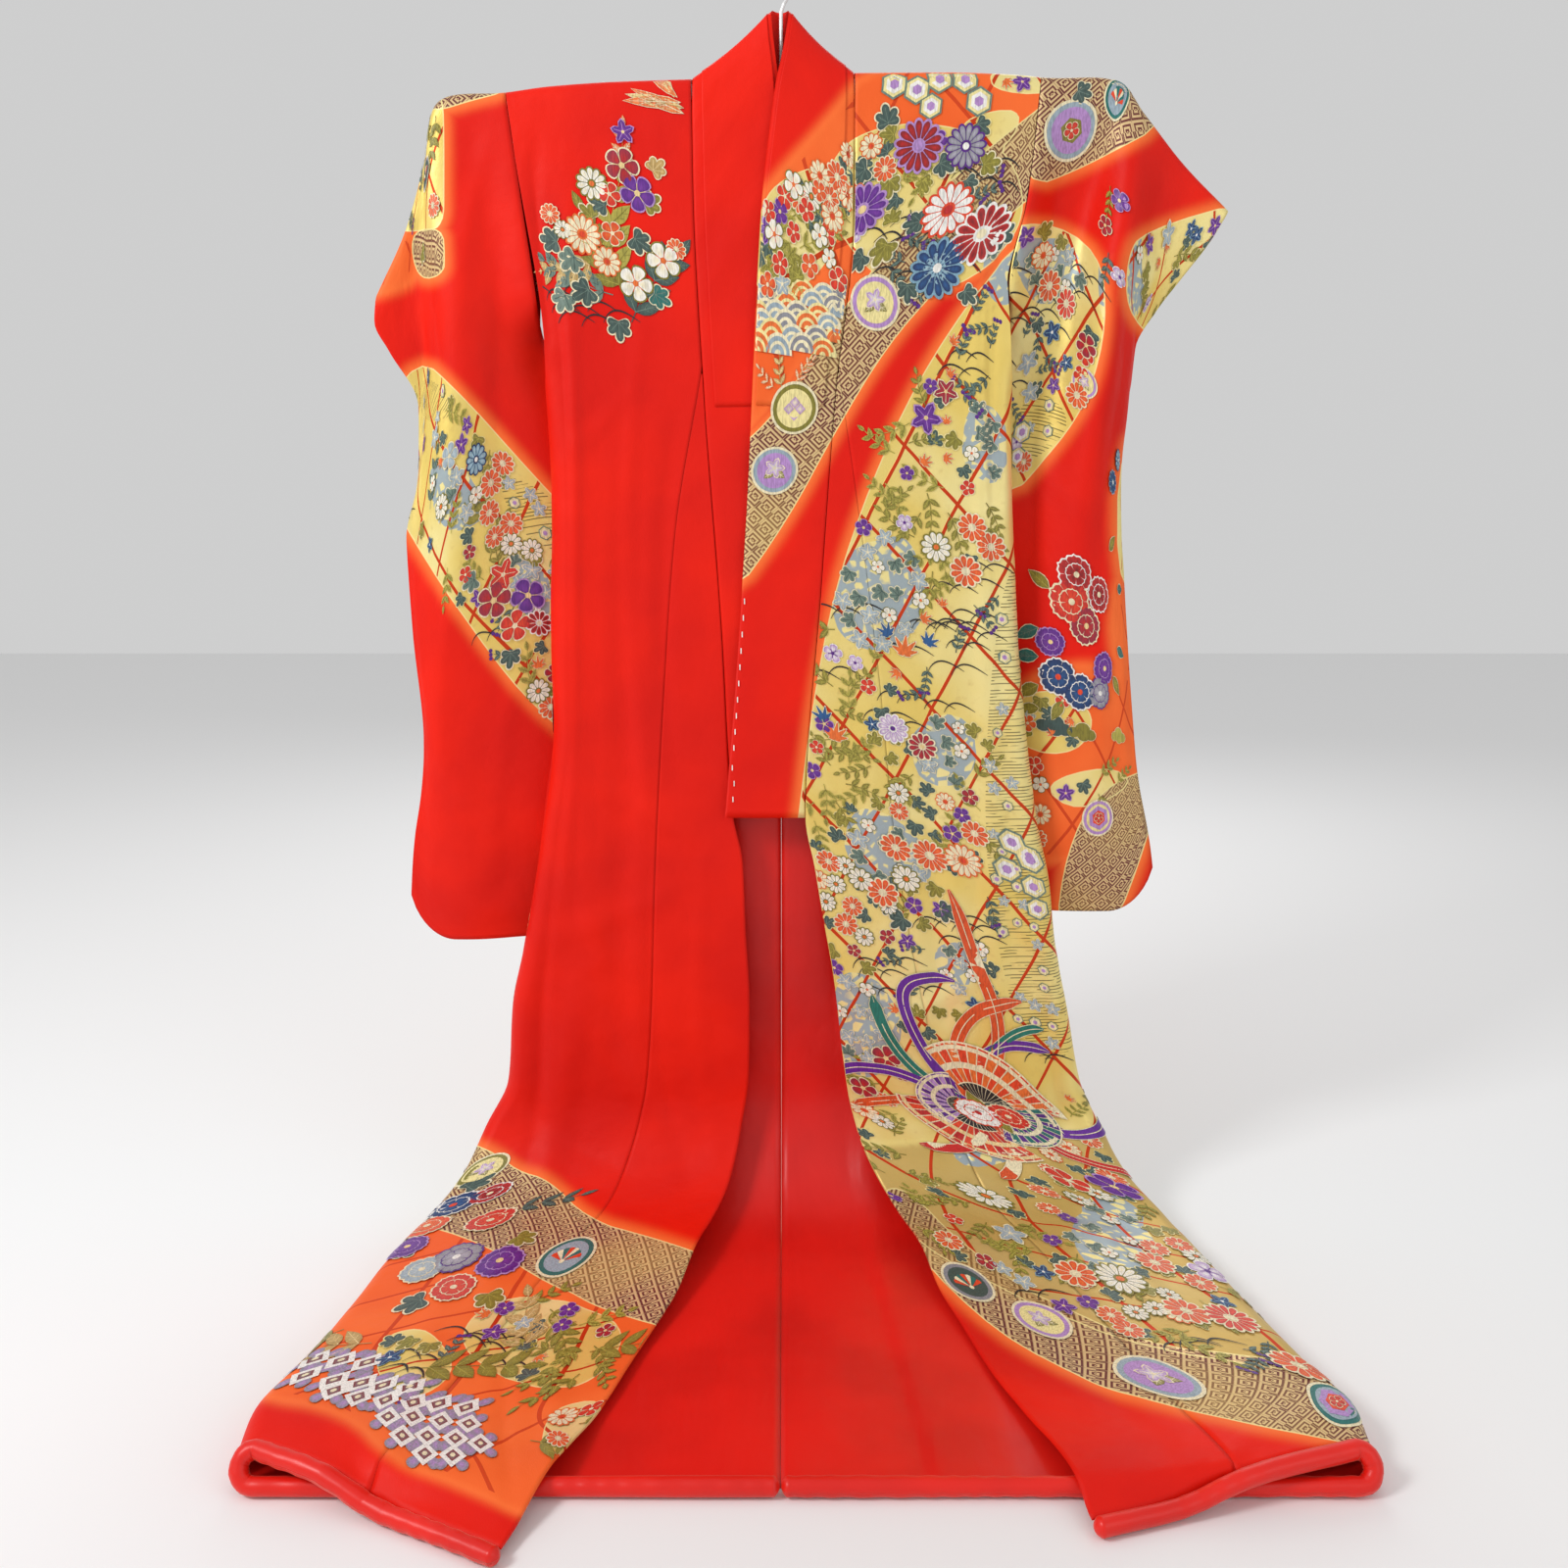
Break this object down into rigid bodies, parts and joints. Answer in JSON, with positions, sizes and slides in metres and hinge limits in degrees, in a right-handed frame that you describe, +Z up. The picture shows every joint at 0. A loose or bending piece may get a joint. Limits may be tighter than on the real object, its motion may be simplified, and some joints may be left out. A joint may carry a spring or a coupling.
{
  "type": "uchikake wedding kimono on a bar hanger",
  "caption": "Long padded-hem outer wedding kimono hung flat from a bar hanger, front edges parted over a red lining, hem fanned out on the floor, hanging sleeves with drooping tops.",
  "frame": {"origin": "inside top of the hanger hook's curve, where the rail carries it", "axes": "+Z up, -Y out of the garment's front, +X the wearer's left (right as seen from the front)"},
  "size_m": [1.1529, 0.7797, 1.5792],
  "materials": {
    "red_silk": "silk",
    "gold_brocade": "silk brocade",
    "red_lining": "satin",
    "bar_plastic": "matte",
    "white_wire": "satin"
  },
  "bodies": {
    "root": {"body_left": "gold_brocade", "body_right": "red_silk", "collar": "red_silk", "hanger_bar": "bar_plastic", "hanger_boss": "bar_plastic", "hanger_hook": "white_wire", "hem_roll_left": "red_lining", "hem_roll_right": "red_lining", "lining_left": "red_lining", "lining_right": "red_lining", "over_collar": "red_silk", "overlap_left": "gold_brocade", "overlap_right": "red_silk", "sleeve_left": "red_silk", "sleeve_right": "red_silk"}
  },
  "joints": []
}
